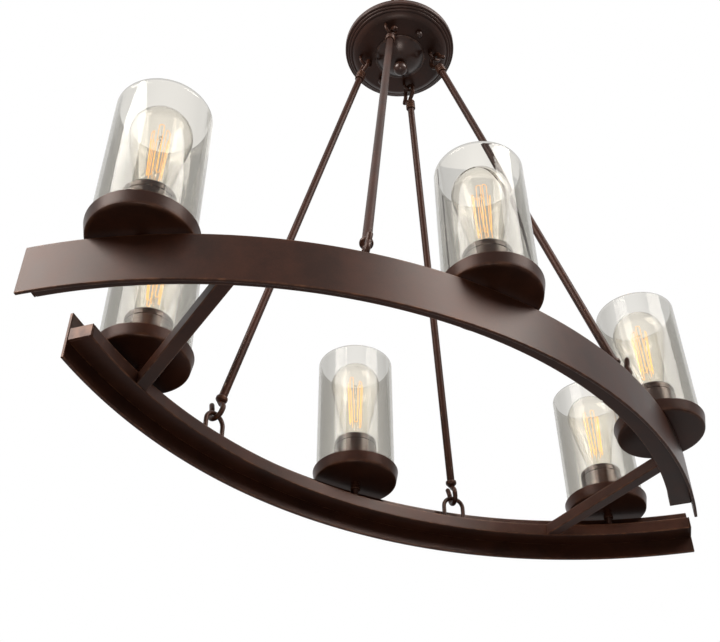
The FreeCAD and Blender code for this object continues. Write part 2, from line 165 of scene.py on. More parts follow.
class HangerSizes(bpy.types.PropertyGroup):
    """Sizes of the rods, their hooks and the hub's eyes."""
    rod: length("Rod", "Diameter of a rod", 0.009)
    collar_radius: length("Collar radius", "Radius of a rod's collars between their ribs", 0.0054)
    rib: length("Rib", "Height of a collar's ribs", 0.001)
    upper_collar: length("Upper collar", "Length of a rod's upper collar", 0.013)
    upper_ribs: count_of("Upper ribs", "Ribs of a rod's upper collar", 4)
    lower_collar: length("Lower collar", "Length of a rod's lower collar", 0.005)
    lower_ribs: count_of("Lower ribs", "Ribs of a rod's lower collar", 1)
    wire: length("Hook wire", "Wire of a hook", 0.0056)
    bow: length("Hook radius", "Radius of a hook's bow", 0.0085)
    bend: length("Hook bend", "Radius of the two bends of a hook's shank", 0.006)
    upper_shank: length("Upper shank", "Distance of the upper collar from the bow's centre", 0.017)
    lower_shank: length("Lower shank", "Distance of the lower collar from the bow's centre", 0.014)
    neck: length("Neck", "Straight part of a shank below its collar", 0.0035)
    shoulder: length("Shoulder", "Height of the shank's lower bend over the bow's centre", 0.0065)
    root: length("Root", "Length of the taper under a collar", 0.004)
    root_radius: length("Root radius", "Radius of the taper at its thin end", 0.0024)
    tip_rise: length("Tip rise", "Height of a hook's tip over the bow's centre", 0.011)
    tip_flare: length("Tip flare", "How far a hook's tip turns out", 0.004)
    tip_bend: length("Tip bend", "Radius of the bend of a hook's tip", 0.007)
    eye_wire: length("Hub eye wire", "Wire of the hub's eyes", 0.0042)
    eye_spacing: length("Hub eye width", "Distance between the legs of a hub's eye", 0.016)
    gap: length("Gap", "Clearance between a hook and its eye", 0.0006)


class HubSizes(bpy.types.PropertyGroup):
    """Sizes of the hub's pan, cover, dome and balls."""
    flat: length("Flat", "Radius of the pan's flat underside", 0.0574)
    wall: length("Wall", "Thickness of the pan", 0.0015)
    rings: count_of("Rings", "Rounded rings up the pan's side", 3)
    plain: FloatProperty(name="Plain share", description="Share of the pan's side below its rings",
                         default=0.46, subtype="FACTOR", min=0, max=1)
    lip: length("Lip", "Height of the pan's upright lip", 0.0037)
    hole: length("Cover hole", "Radius of the hole in the cover", 0.0051)
    bead: length("Dome bead", "Bead around the dome's foot", 0.002)
    nose: length("Dome nose", "Radius of the dome's nose", 0.007)
    swell: length("Dome swell", "How far the dome stands out from a straight cone", 0.0025)
    neck: length("Finial neck", "Radius of the finial's neck", 0.0042)
    nut_neck: length("Nut neck", "Radius of a ball nut's neck", 0.002)


class LampSizes(bpy.types.PropertyGroup):
    """Sizes of the cups, sleeves, cylinders and bulbs."""
    cup_bottom: length("Cup foot", "Radius of a cup at its foot", 0.046)
    cup_rim: length("Cup rim", "Radius of a cup at its rim", 0.0485)
    cup_wall: length("Cup wall", "Thickness of a cup's wall", 0.001)
    cup_floor: length("Cup floor", "Thickness of a cup's floor", 0.0015)
    shade_radius: length("Glass radius", "Outer radius of a glass cylinder", 0.0445)
    shade_wall: length("Glass wall", "Thickness of a glass cylinder", 0.003)
    sleeve_radius: length("Sleeve radius", "Radius of a socket's sleeve", 0.0242)
    sleeve_wall: length("Sleeve wall", "Thickness of a socket's sleeve", 0.001)
    bulb_radius: length("Bulb radius", "Largest radius of a bulb", 0.0288)
    bulb_wall: length("Bulb wall", "Thickness of a bulb's glass", 0.0008)
    throat: length("Bulb throat", "Radius of a bulb just above its neck", 0.014)
    cap_radius: length("Cap radius", "Radius of a bulb's cap over its thread", 0.0131)
    thread_turns: count_of("Thread turns", "Turns of a cap's rolled thread", 6)
    strands: count_of("Filament loops", "Hairpin loops of a bulb's filament", 6)


class Finishes(bpy.types.PropertyGroup):
    """Colours of the finishes."""
    bronze: colour("Bronze", "Dark brown of the painted metal", (0.036, 0.0112, 0.0056))
    bronze_dark: colour("Dark bronze", "Darkest mottling of the painted metal", (0.019, 0.0066, 0.0036))
    copper: colour("Rubbed edge", "Copper that shows along rubbed edges", (0.15, 0.064, 0.032))
    glass: colour("Glass", "Tint of the glass cylinders", (0.84, 0.82, 0.775))
    bulb: colour("Bulb glass", "Tint of the bulbs", (0.975, 0.96, 0.93))
    filament: colour("Filament", "Light of the filament", (1.0, 0.46, 0.09))
    brass: colour("Brass", "Bulb caps", (0.62, 0.44, 0.20))


def sizes_of(group):
    """One of the scene's groups of sizes."""
    return getattr(bpy.context.scene, "chandelier_" + group)


# Shader maths

class Value:
    """A socket of a finish's nodes, with the operators that its sums need."""

    def __init__(self, finish, socket):
        self.finish = finish
        self.socket = socket

    def _math(self, operation, first, second):
        return self.finish.node("Math", {"operation": operation}, {0: first, 1: second})

    def __add__(self, other):
        return self._math("ADD", self, other)

    def __mul__(self, other):
        return self._math("MULTIPLY", self, other)


class Finish:
    """A material or a world, and the nodes that make it."""

    def __init__(self, name, library=None, output="OutputMaterial"):
        library = bpy.data.materials if library is None else library
        self.owner = library.new(name)
        self.owner.use_nodes = True
        self.tree = self.owner.node_tree
        self.tree.nodes.clear()
        self.output = self.tree.nodes.new("ShaderNode" + output)

    def node(self, kind, settings=None, inputs=None, output=0):
        """Add a node, set it up, link or set its sockets, and give back one of its outputs."""
        node = self.tree.nodes.new("ShaderNode" + kind)
        for key, value in (settings or {}).items():
            if key == "stops":
                self._stops(node.color_ramp, value)
            else:
                setattr(node, key, value)
        for key, value in (inputs or {}).items():
            socket = node.inputs[key]
            if isinstance(value, Value):
                self.tree.links.new(value.socket, socket)
            else:
                socket.default_value = value
        return Value(self, node.outputs[output])

    def _stops(self, ramp, stops):
        while len(ramp.elements) < len(stops):
            ramp.elements.new(1.0)
        for element, (position, value) in zip(ramp.elements, stops):
            element.position = position
            element.color = (*value, 1) if isinstance(value, tuple) else (value, value, value, 1)

    def noise(self, scale, detail=2.0, roughness=0.5, stretch=None):
        """Noise between 0 and 1 at a scale per metre."""
        place = self.node("TexCoord", output="Object")
        if stretch:
            place = self.node("Mapping", {}, {"Vector": place, "Scale": stretch})
        return self.node("TexNoise", {}, {"Vector": place, "Scale": scale, "Detail": detail,
                                                    "Roughness": roughness})

    def ramp(self, value, *stops):
        """Value or colour from stops along another value."""
        return self.node("ValToRGB", {"stops": stops}, {"Fac": value})

    def mix(self, share, first, second):
        """Mix of two colours."""
        first = first if isinstance(first, Value) else (*first, 1)
        second = second if isinstance(second, Value) else (*second, 1)
        return self.node("Mix", {"data_type": "RGBA"}, {0: share, 6: first, 7: second}, output=2)

    def bump(self, height, strength, distance):
        """Normal from a height."""
        return self.node("Bump", {}, {"Height": height, "Strength": strength, "Distance": distance})

    def attribute(self, name):
        """Value stored on the mesh's points."""
        return self.node("Attribute", {"attribute_name": name}, output="Fac")

    def seen(self):
        """Above 0 for rays from the camera, off gloss and through glass."""
        rays = ("Is Camera Ray", "Is Glossy Ray", "Is Transmission Ray")
        camera, glossy, through = (self.node("LightPath", output=ray) for ray in rays)
        return camera + glossy + through

    def surface(self, **sockets):
        """Finish with one Principled shader."""
        names = {key.replace("_", " ").title().replace("Ior", "IOR"): value for key, value in sockets.items()}
        return self.done(self.node("BsdfPrincipled", {}, names, output="BSDF"))

    def mixed(self, share, first, second):
        """Finish with a mix of two shaders."""
        inputs = {0: share, 1: first, 2: second}
        return self.done(self.node("MixShader", {}, inputs, output="Shader"))

    def done(self, shader):
        """Link the surface and give back the material or the world."""
        self.tree.links.new(shader.socket, self.output.inputs["Surface"])
        return self.owner


def bronze_finish(name, roughness, spread, gloss, relief):
    """Satin brown-black bronze paint, faintly mottled, with copper along rubbed edges and a fine grain."""
    colours = sizes_of("finishes")
    finish = Finish(name)
    mottle = finish.noise(26, detail=4.0, roughness=0.60)
    cloud = finish.noise(7, detail=2.0)
    grain = finish.noise(900, detail=2.0)
    blend = finish.ramp(mottle * 0.5 + cloud * 0.3 + grain * 0.2, (0.40, 0.0), (0.60, 1.0))
    base = finish.mix(blend, tuple(colours.bronze_dark), tuple(colours.bronze))
    patchy = finish.ramp(finish.noise(120, detail=3.0), (0.40, 0.15), (0.66, 1.0))
    worn = finish.attribute("wear") * patchy
    base = finish.mix(worn * 0.45, base, tuple(colours.copper))
    rough = mottle * spread + (roughness - spread / 2) + worn * -0.04
    height = grain * 0.7 + mottle * 0.3
    return finish.surface(base_color=base, metallic=0.2, roughness=rough, specular_ior_level=gloss,
                          normal=finish.bump(height, relief, 0.0003))


def glass_finish(name, colour_name, ior, slant_shade, glow=0.0):
    """Clear glass, darker where it is seen at a slant, with faint drawing streaks and a painted glow on a lit
    bulb's glass. The darkest rim at the limbs follows the longer path through the glass; the broader
    darkening at a slant is painted shade for dark surroundings reflected in the glass.
    """
    tint = getattr(sizes_of("finishes"), colour_name)
    finish = Finish(name)
    streak = finish.noise(60, detail=2.0, stretch=(1.0, 1.0, 0.04))
    slant = finish.node("LayerWeight", inputs={"Blend": 0.5}, output="Facing")
    # Painted shade: the tint darkens where the glass is seen at a slant, standing in for dark surroundings
    # reflected in it; only the darkest rim at the limbs follows the longer path through the glass.
    edge_share, edge_tone = 0.36, (1.0, 0.98, 0.86)
    turned = tuple(slant_shade * value for value in tint)
    edge = tuple(edge_share * tone * value for tone, value in zip(edge_tone, tint))
    depth = finish.ramp(slant, (0.17, tuple(tint)), (0.38, turned), (0.66, turned), (0.94, edge))
    # Painted glow: emission on the glass itself stands in for the lit filament's light, though the glass is
    # no lamp.
    return finish.surface(base_color=depth, roughness=0.0, transmission_weight=1.0, ior=ior,
                          emission_color=(1.0, 0.86, 0.62, 1), emission_strength=glow,
                          normal=finish.bump(streak, 0.02, 0.0004))


def filament_finish(name):
    """Glowing strand, hottest in the middle of its length."""
    colours = sizes_of("finishes")
    finish = Finish(name)
    heat, dim, hot = finish.attribute("heat"), 0.55, (1.0, 0.60, 0.18)
    cool = tuple(c * dim for c in colours.filament)
    glow = finish.ramp(heat, (0.0, cool), (0.45, tuple(colours.filament)), (1.0, hot))
    return finish.surface(base_color=(0.1, 0.06, 0.04, 1), roughness=0.6, emission_color=glow,
                          emission_strength=4.4)


def brass_finish(name):
    """Thin rolled brass, dulled by a fine random tarnish."""
    colours = sizes_of("finishes")
    finish = Finish(name)
    dull, tarnish = finish.noise(260, detail=3.0), 0.55
    base = finish.mix(dull * 0.5, tuple(colours.brass), tuple(c * tarnish for c in colours.brass))
    return finish.surface(base_color=base, metallic=1.0, roughness=dull * 0.2 + 0.2,
                          normal=finish.bump(dull, 0.05, 0.0002))


def speckled_finish(name, scale, detail, dark, light, metallic, roughness, relief, stretch=None):
    """Plain finish whose tone and gloss vary with a fine noise."""
    finish = Finish(name)
    speck = finish.noise(scale, detail=detail, stretch=stretch)
    base = finish.ramp(speck, (0.3, dark), (0.7, light))
    return finish.surface(base_color=base, metallic=metallic, roughness=speck * 0.2 + roughness,
                          normal=finish.bump(speck, relief, 0.0002))


def moulded_finish(name):
    """Black moulded lamp holder."""
    return speckled_finish(name, scale=900, detail=2.0, dark=(0.012, 0.011, 0.01), light=(0.03, 0.027, 0.025),
                           metallic=0.0, roughness=0.45, relief=0.06)


def steel_finish(name):
    """Rolled zinc-plated steel."""
    return speckled_finish(name, scale=300, detail=3.0, dark=(0.42, 0.42, 0.41), light=(0.60, 0.60, 0.58),
                           metallic=1.0, roughness=0.28, relief=0.05, stretch=(0.05, 1.0, 1.0))


MAKERS = {
    "dark_bronze": lambda name: bronze_finish(name, roughness=0.37, spread=0.12, gloss=0.15, relief=0.07),
    "gloss_bronze": lambda name: bronze_finish(name, roughness=0.29, spread=0.05, gloss=0.42, relief=0.01),
    "hub_bronze": lambda name: bronze_finish(name, roughness=0.38, spread=0.06, gloss=0.26, relief=0.02),
    "rod_bronze": lambda name: bronze_finish(name, roughness=0.42, spread=0.06, gloss=0.11, relief=0.07),
    # The shade glass darkens at a slant as painted shade for dark surroundings reflected in it.
    "shade_glass": lambda name: glass_finish(name, "glass", ior=1.15, slant_shade=0.65),
    # Painted glow: the bulb glass gets a faint emission of its own.
    "bulb_glass": lambda name: glass_finish(name, "bulb", ior=1.22, slant_shade=0.93, glow=0.012),
    "filament": filament_finish,
    "bulb_brass": brass_finish,
    "lamp_holder": moulded_finish,
    "steel": steel_finish,
}


def finish_named(name):
    """A finish, made the first time it is asked for."""
    title = "finish_" + name
    return bpy.data.materials.get(title) or MAKERS[name](title)


# Mesh tools

class Shape:
    """Points and faces of one piece, gathered before its mesh is made."""

    def __init__(self):
        self.points = []
        self.faces = []
        self.values = {}

    def ring(self, points, **values):
        """Add points and give back their numbers."""
        first = len(self.points)
        self.points += [Vector(p) for p in points]
        for name, value in values.items():
            for number in range(first, len(self.points)):
                self.values.setdefault(name, {})[number] = value
        return list(range(first, len(self.points)))

    def bridge(self, first, second, closed=True):
        """Faces between two rings of equal count."""
        count = len(first)
        for i in range(count if closed else count - 1):
            j = (i + 1) % count
            self.faces.append((first[i], first[j], second[j], second[i]))

    def lid(self, ring, flip=False):
        """One face over a ring."""
        self.faces.append(tuple(reversed(ring)) if flip else tuple(ring))

    def lathe(self, profile, place=Vector(), segments=ROUND, wear=None, turn=None):
        """Closed profile of (r, z) points turned about Z; a point on the axis closes to a pole."""
        rings = []
        angles = [2 * pi * i / segments for i in range(segments)]
        for (r, z), rub in zip(profile, wear or [0.0] * len(profile)):
            if r < ON_AXIS:
                points = [Vector((0, 0, z))]
            else:
                points = [Vector((r * cos(a), r * sin(a), z)) for a in angles]
            points = [turn @ p if turn else p for p in points]
            rings.append(self.ring([p + place for p in points], wear=rub))
        for a, b in zip(rings, rings[1:] + rings[:1]):
            if len(a) == 1 and len(b) == 1:
                continue
            if len(a) == 1:
                self.faces += [(a[0], b[(i + 1) % segments], b[i]) for i in range(segments)]
            elif len(b) == 1:
                self.faces += [(a[i], a[(i + 1) % segments], b[0]) for i in range(segments)]
            else:
                self.bridge(a, b)
        return self

    def wire(self, path, radius, closed=False, sides=20, ends=True, wear=0.0, heat=None):
        """Round wire along points, with domed ends."""
        count = len(path)
        tangents = []
        for i, point in enumerate(path):
            before = path[i - 1] if closed or i else point
            after = path[(i + 1) % count] if closed or i < count - 1 else point
            tangents.append((after - before).normalized())
        side = tangents[0].orthogonal().normalized()
        stations = []
        for i, (point, tangent) in enumerate(zip(path, tangents)):
            side = (side - tangent * side.dot(tangent)).normalized()
            stations.append((point, tangent, side.copy(), radius, heat[i] if heat else 0.0))
        if ends and not closed:
            stations = self._domes(stations)
        rings = []
        turns = [2 * pi * k / sides for k in range(sides)]
        for point, tangent, side, size, warmth in stations:
            other = tangent.cross(side)
            values = {"wear": wear, "heat": warmth} if heat else {"wear": wear}
            points = [point + (side * cos(t) + other * sin(t)) * size for t in turns]
            rings.append(self.ring(points, **values))
        for a, b in zip(rings, rings[1:]):
            self.bridge(a, b)
        if closed:
            self._close_twist(rings[-1], rings[0])
        else:
            self.lid(rings[0], flip=True)
            self.lid(rings[-1])
        return self

    def _domes(self, stations):
        """Round off the two ends of a wire's stations."""
        steps = (0.12, 0.35, 0.65, 0.9)

        def dome(station, way):
            point, tangent, side, size, warmth = station
            return [(point + tangent * (way * size * sqrt(1 - s * s)), tangent, side, size * s, warmth)
                    for s in steps]

        return dome(stations[0], -1) + stations + dome(stations[-1], 1)[::-1]

    def _close_twist(self, last, first):
        """Join the ends of a closed wire where the sides line up best."""
        count = len(last)

        def gap(i, shift):
            return (self.points[last[i]] - self.points[first[(i + shift) % count]]).length

        spans = [sum(gap(i, shift) for i in range(count)) for shift in range(count)]
        shift = spans.index(min(spans))
        self.bridge(last, [first[(i + shift) % count] for i in range(count)])

    def bar(self, section, wear, station, count, edge, share):
        """Closed section carried along stations, its ends chamfered by an edge over a share of the length."""
        low, high = ([pick(p[k] for p in section) for k in (0, 1)] for pick in (min, max))
        middle = [(a + b) / 2 for a, b in zip(low, high)]
        pull = [1 - 2 * edge / (b - a) for a, b in zip(low, high)]
        drawn = [[m + (c - m) * p for c, m, p in zip(point, middle, pull)] for point in section]
        stops = [0.0] + [share + (1 - 2 * share) * i / count for i in range(count + 1)] + [1.0]
        rings = []
        for stop in stops:
            at_end = stop in (0.0, 1.0)
            ring = self.ring([station(stop, x, z) for x, z in (drawn if at_end else section)])
            for number, rub in zip(ring, wear):
                self.values.setdefault("wear", {})[number] = EDGE_WEAR if at_end else rub
            rings.append(ring)
        for a, b in zip(rings, rings[1:]):
            self.bridge(a, b)
        self.lid(rings[0], flip=True)
        self.lid(rings[-1])
        return self

    def piece(self, name, finish, body, *nodes, smooth=35):
        """Make the mesh, give it its finish, and hang it on its body in place of its nodes."""
        mesh = bpy.data.meshes.new(name)
        mesh.from_pydata(self.points, [], self.faces)
        for key, stored in self.values.items():
            layer = mesh.attributes.new(key, "FLOAT", "POINT")
            for number, value in stored.items():
                layer.data[number].value = value
        tidy = bmesh.new()
        tidy.from_mesh(mesh)
        bmesh.ops.recalc_face_normals(tidy, faces=tidy.faces)
        tidy.to_mesh(mesh)
        tidy.free()
        mesh.shade_smooth()
        mesh.set_sharp_from_angle(angle=radians(smooth))
        mesh.materials.append(finish_named(finish))
        obj = bpy.data.objects.new(name, mesh)
        bpy.context.scene.collection.objects.link(obj)
        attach(obj, body)
        if nodes:
            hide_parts(*nodes)


def rounded(points, radius, steps=4, keep=()):
    """Closed outline with rounded corners, each between two support points, and how rubbed each point is."""
    out, rub = [], []
    count, longest_cut, longest_support = len(points), 0.3, 0.45
    for i in range(count):
        here = Vector(points[i])
        before = Vector(points[i - 1]) - here
        after = Vector(points[(i + 1) % count]) - here
        angle = before.angle(after)
        if i in keep or abs(here.x) < ON_AXIS or pi - angle < ALMOST_STRAIGHT:
            out.append(tuple(here))
            rub.append(0.0)
            continue
        cut = min(radius / tan(angle / 2), before.length * longest_cut, after.length * longest_cut)
        size = cut * tan(angle / 2)
        first, last = here + before.normalized() * cut, here + after.normalized() * cut
        centre = here + (before.normalized() + after.normalized()).normalized() * (size / sin(angle / 2))
        start, sweep = first - centre, (first - centre).angle_signed(last - centre)
        arc = [centre + Matrix.Rotation(-sweep * k / steps, 2) @ start for k in range(steps + 1)]
        supports = [here + side.normalized() * min(3 * cut, side.length * longest_support)
                    for side in (before, after)]
        out += [tuple(p) for p in (supports[0], *arc, supports[1])]
        rub += [0.0] + [1.0 if angle < SHARP_CORNER else DULL_EDGE_WEAR] * len(arc) + [0.0]
    return out, rub


def rounded_box(left, right, low, high, radius, steps=4):
    """Rounded outline of an upright rectangle."""
    return rounded([(left, low), (right, low), (right, high), (left, high)], radius, steps)


def arc_points(points, radii, step=0.0007):
    """Points along straight runs with a tangent arc at each inner corner."""
    out = [points[0]]
    for before, corner, after, radius in zip(points, points[1:], points[2:], radii):
        back, ahead = (before - corner).normalized(), (after - corner).normalized()
        half = back.angle(ahead) / 2
        centre = corner + (back + ahead).normalized() * (radius / sin(half))
        first = corner + back * (radius / tan(half)) - centre
        last = corner + ahead * (radius / tan(half)) - centre
        axis = first.cross(last).normalized()
        sweep = first.angle(last)
        count = max(4, ceil(sweep * radius / step))
        for k in range(count + 1):
            point = centre + Matrix.Rotation(sweep * k / count, 3, axis) @ first
            if (point - out[-1]).length > 1e-5:
                out.append(point)
    out.append(points[-1])
    return out


def staple_points(foot, spacing, height, direction, upward):
    """Arch on two legs that stands on a foot point."""
    reach = direction * (spacing / 2)
    corners = [foot - reach, foot - reach + upward * height, foot + reach + upward * height, foot + reach]
    return arc_points(corners, [spacing / 2 - 1e-6] * 2)


# Pieces

def upper_pivot(corner):
    """Middle of the hub eye's wire that a rod hangs on."""
    joints, name = frame["record"]["behaviour"]["joints"], "rod_%s_swing" % corner
    return Vector(next(joint["pos_m"] for joint in joints if joint["name"] == name))


def rail_line():
    """Radius of the line along the middle of a tube."""
    s = sizes_of("rails")
    return s.radius - s.band_thickness - s.tube_width / 2


def lower_pivot(corner):
    """Middle of the rail eye's wire that a rod carries."""
    sx, sy = CORNERS[corner]
    s = sizes_of("rails")
    low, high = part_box("rail_eyes")
    line, reach = rail_line(), (high[0] - low[0]) / 2
    x = reach
    for _ in range(30):
        angle = asin(x / line)
        x = reach - s.staple_wire / 2 - s.staple_spacing / 2 * cos(angle)
    y = sqrt(line**2 - x**2) - (s.radius - s.half_width)
    return Vector((sx * x, sy * y, high[2] - s.staple_wire / 2))


def rail_direction(corner):
    """Direction of the rail under a rod."""
    sx, sy = CORNERS[corner]
    slope = -sx * sy * asin(abs(lower_pivot(corner).x) / rail_line())
    return Vector((cos(slope), sin(slope), 0))


def rail_arc(shape, far, inner, outer, height, start, end, count):
    """Curved bar of the near rail, or the far one by a half turn."""
    s = sizes_of("rails")
    half = height / 2
    section, rub = rounded_box(inner, outer, -half, half, s.edge)
    centre_y = s.radius - s.half_width
    flip = -1 if far else 1

    def station(t, r, z):
        angle = start + (end - start) * t
        return Vector((flip * r * sin(angle), flip * (centre_y - r * cos(angle)), RAIL_Z + z))

    return shape.bar(section, rub, station, count, s.edge, s.edge / ((end - start) * outer))


def cross_bar(side, x, inner):
    """Square bar with its ends cut to the inner curve of the tubes."""
    s = sizes_of("rails")
    half = s.bar_side / 2
    section, rub = rounded_box(-half, half, -half, half, s.edge)
    centre_y = s.radius - s.half_width

    def station(t, dx, dz):
        reach = sqrt(inner**2 - (x + dx)**2) - centre_y
        return Vector((x + dx, reach * (2 * t - 1), RAIL_Z + dz))

    bar = Shape().bar(section, rub, station, 24, s.edge, s.edge / (2 * s.half_width))
    bar.piece("cross_bar_%s_bar" % side, "dark_bronze", "oval", "cross_bar_" + side)


def rail_eyes():
    """Wire eyes that stand on the tubes over the rods' lower hooks."""
    s = sizes_of("rails")
    low, high = levels("rail_eyes")
    rise = high - low - s.staple_wire / 2
    shape = Shape()
    for corner in CORNERS:
        pivot = lower_pivot(corner)
        foot = Vector((pivot.x, pivot.y, low))
        path = staple_points(foot, s.staple_spacing, rise, rail_direction(corner), UP)
        shape.wire(path, s.staple_wire / 2, ends=False, wear=WIRE_WEAR)
    shape.piece("rail_eye_wires", "dark_bronze", "oval", "rail_eyes")


class CHANDELIER_OT_rails(bpy.types.Operator):
    """Build the bands, tubes, end caps, cross bars and eyes"""
    bl_idname = "chandelier.rails"
    bl_label = "Rails"
    bl_options = {"REGISTER", "UNDO"}

    def execute(self, context):
        s = sizes_of("rails")
        start, end, steps = -s.half_angle - s.slide, s.half_angle - s.slide, 160
        outer = s.radius - s.band_thickness
        inner = outer - s.tube_width
        cap = s.cap / rail_line()
        for side, far in (("near", False), ("far", True)):
            band = rail_arc(Shape(), far, outer, s.radius, s.band_height, start, end, steps)
            band.piece("band_%s_bar" % side, "dark_bronze", "oval", "band_" + side)
            tube = rail_arc(Shape(), far, inner, outer, s.tube_height, start + cap, end - cap, steps)
            tube.piece("tube_%s_bar" % side, "dark_bronze", "oval", "tube_" + side)
        caps = Shape()
        for far in (False, True):
            for first in (start, end - cap):
                rail_arc(caps, far, inner, outer, s.tube_height, first, first + cap, 2)
        caps.piece("tube_end_plates", "dark_bronze", "oval", "tube_end_caps")
        for side, x in (("left", -s.bar_x), ("right", s.bar_x)):
            cross_bar(side, x, inner)
        rail_eyes()
        return {"FINISHED"}


def rod_hook(shape, pivot, along, inward, eye, shank, collar, ribs):
    """Ribbed collar on a tapered root, and an open hook on an eye; gives back the rod's end."""
    h = sizes_of("hangers")
    centre = pivot + along * (h.bow - (h.wire + eye) / 2 - h.gap)
    upright = UP.rotation_difference(along).to_matrix()
    rib, steps, narrow, bevel = collar / ribs, 10, 0.8, 0.9
    profile = [(0, -h.root), (h.root_radius * narrow, -h.root), (h.root_radius, -h.root * bevel),
               (h.collar_radius, 0)]
    rub = [0.0, 0.0, 0.1, 0.2]
    for number in range(ribs):
        for turn in spread(pi, steps, 1):
            level = rib * (number + 0.5 - 0.5 * cos(turn))
            profile.append((h.collar_radius + h.rib * sin(turn), level))
            rub.append(EDGE_WEAR * sin(turn))
    profile += [(h.rod / 2, collar), (0, collar)]
    rub += [0.0, 0.0]
    shape.lathe(profile, centre + along * shank, SMALL, rub, upright)
    bow = h.bow
    route = [(0, shank + h.wire / 2), (0, shank - h.neck), (bow, h.shoulder), (bow, -bow), (-bow, -bow),
             (-bow, h.tip_rise - h.tip_bend), (-bow - h.tip_flare, h.tip_rise)]
    points = [centre + inward * u + along * v for u, v in route]
    shape.wire(arc_points(points, [h.bend, h.bend, bow, bow, h.tip_bend]), h.wire / 2, wear=0.15)
    return centre + along * (shank + collar)


class CHANDELIER_OT_rods(bpy.types.Operator):
    """Build the four rods with their collared hooks"""
    bl_idname = "chandelier.rods"
    bl_label = "Rods"
    bl_options = {"REGISTER", "UNDO"}

    def execute(self, context):
        h, s = sizes_of("hangers"), sizes_of("rails")
        upper = (h.eye_wire, h.upper_shank, h.upper_collar, h.upper_ribs)
        lower = (s.staple_wire, h.lower_shank, h.lower_collar, h.lower_ribs)
        edge = 0.0003
        for corner, (_, sy) in CORNERS.items():
            top, bottom = upper_pivot(corner), lower_pivot(corner)
            down = (bottom - top).normalized()
            hooks = Shape()
            axes = (X_AXIS, rail_direction(corner))
            high_side, low_side = (axis.cross(down).normalized() * -sy for axis in axes)
            high_end = rod_hook(hooks, top, down, high_side, *upper)
            low_end = rod_hook(hooks, bottom, -down, low_side, *lower)
            hooks.piece("rod_hooks_%s_cast" % corner, "dark_bronze", "rod_" + corner, "rod_hooks_" + corner)
            span = (low_end - high_end).length
            profile, rub = rounded_box(0, h.rod / 2, 0, span, edge)
            rod = Shape().lathe(profile, high_end, SMALL, rub, UP.rotation_difference(down).to_matrix())
            rod.piece("rod_%s_tube" % corner, "rod_bronze", "rod_" + corner, "rod_" + corner)
        return {"FINISHED"}


def hub_pan():
    """Pan with rounded rings up its flared side, and its cover plate."""
    s = sizes_of("hub")
    rim, depth = node_radius("hub_pan"), PAN_TOP - HUB_Z
    flare, side = depth - s.lip, rim - s.flat
    cone_steps, ring_steps, edge, chamfer = 12, 8, 0.0006, 0.0002
    bulge, bulge_out, ring_swell, ring_out = 0.0007, 0.4, 0.3, 0.6
    outer = [(s.flat, 0)]
    for t in spread(1, cone_steps, 1):
        share, swell = s.plain * t, bulge * sin(pi * t)
        outer.append((s.flat + side * share + swell * bulge_out, flare * share - swell))
    ring = (1 - s.plain) / s.rings
    for number in range(s.rings):
        for turn in spread(pi, ring_steps, 1):
            share = s.plain + ring * (number + 0.5 - 0.5 * cos(turn))
            swell = ring_swell * ring * side * sin(turn)
            outer.append((min(rim, s.flat + side * share + swell * ring_out), flare * share - swell))
    outer += [(rim, flare + edge), (rim, depth - edge), (rim - chamfer, depth)]
    inner = [(rim - s.wall, depth), (rim - s.wall, flare + s.wall), (s.flat - s.wall, s.wall)]
    pan = Shape().lathe([(0, 0), *outer, *inner, (0, s.wall)], on_axis(HUB_Z), FINE)
    pan.piece("hub_pan_spun", "hub_bronze", "hub", "hub_pan", smooth=30)
    low, high = levels("hub_cover")
    profile, rub = rounded_box(s.hole, rim, low, high, edge)
    cover = Shape().lathe(profile, Vector(), FINE, rub)
    cover.piece("hub_cover_plate", "dark_bronze", "hub", "hub_cover")


def hub_dome():
    """Satin dome with a beaded foot."""
    s = sizes_of("hub")
    radius, depth, bead = node_radius("hub_dome"), HUB_Z - levels("hub_dome")[0], s.bead
    bead_steps, side_steps = 8, 24
    profile = [(0, 0), (radius - bead, 0)]
    for turn in spread(pi, bead_steps):
        profile.append((radius - bead + bead * sin(turn), -bead / 2 + bead / 2 * cos(turn)))
    first, last = Vector((radius - bead, -bead)), Vector((s.nose, -depth))
    across = (last - first).normalized()
    control = (first + last) / 2 + Vector((-across.y, across.x)) * (2 * s.swell)
    for t in spread(1, side_steps, 1):
        profile.append(tuple(first * (1 - t)**2 + control * (2 * t * (1 - t)) + last * t**2))
    profile.append((0, -depth))
    wear = [0.0, 0.0] + [EDGE_WEAR] * (bead_steps + 1) + [0.0] * (side_steps + 1)
    dome = Shape().lathe(profile, on_axis(HUB_Z), FINE, wear)
    dome.piece("hub_dome_spun", "gloss_bronze", "hub", "hub_dome", smooth=40)


def hub_balls():
    """Ball finial under the dome, and the ball nuts of the pan."""
    s = sizes_of("hub")
    low, top = levels("hub_finial")
    profile = ball_profile(node_radius("hub_finial"), s.neck, top - low)
    finial = Shape().lathe(profile, on_axis(top), segments=64)
    finial.piece("hub_finial_ball", "gloss_bronze", "hub", "hub_finial", smooth=60)
    nuts = Shape()
    low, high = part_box("hub_ball_nuts")
    radius = node_radius("hub_ball_nuts")
    for y in (low[1] + radius, high[1] - radius):
        nuts.lathe(ball_profile(radius, s.nut_neck, HUB_Z - low[2]), Vector((0, y, HUB_Z)), segments=48)
    nuts.piece("hub_ball_nut_pair", "gloss_bronze", "hub", "hub_ball_nuts", smooth=60)


def ball_profile(radius, neck, depth):
    """Profile of a ball under a short neck that ends at z 0."""
    widest, steps = 0.9, 32
    start = asin(min(neck / radius, widest))
    profile = [(0, 0), (neck, 0)]
    for turn in spread(pi - start, steps)[:-1]:
        profile.append((radius * sin(start + turn), radius - depth + radius * cos(start + turn)))
    return profile + [(0, -depth)]


